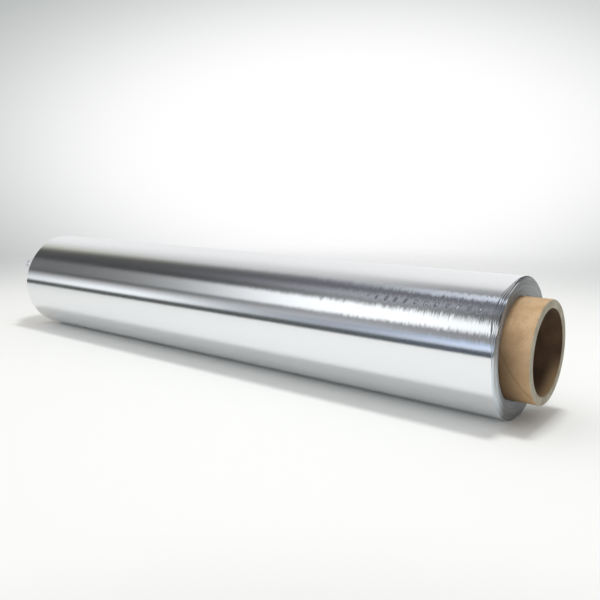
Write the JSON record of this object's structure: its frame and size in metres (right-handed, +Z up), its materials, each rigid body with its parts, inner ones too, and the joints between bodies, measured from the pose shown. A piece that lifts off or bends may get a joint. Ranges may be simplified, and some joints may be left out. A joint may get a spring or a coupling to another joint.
{
  "type": "aluminium foil roll",
  "caption": "Roll of aluminium foil wound on a longer cardboard core tube that stands out at both ends, lying on its side.",
  "frame": {"origin": "on the surface that the roll lies on, under the middle of its length", "axes": "+X along the roll's axis, +Z up"},
  "size_m": [0.3208, 0.056, 0.0557],
  "materials": {
    "foil": "bright rolled foil, near mirror along the roll",
    "core_board": "matt brown board"
  },
  "bodies": {
    "root": {"foil_winding": "foil", "core_tube": "core_board"}
  },
  "joints": []
}
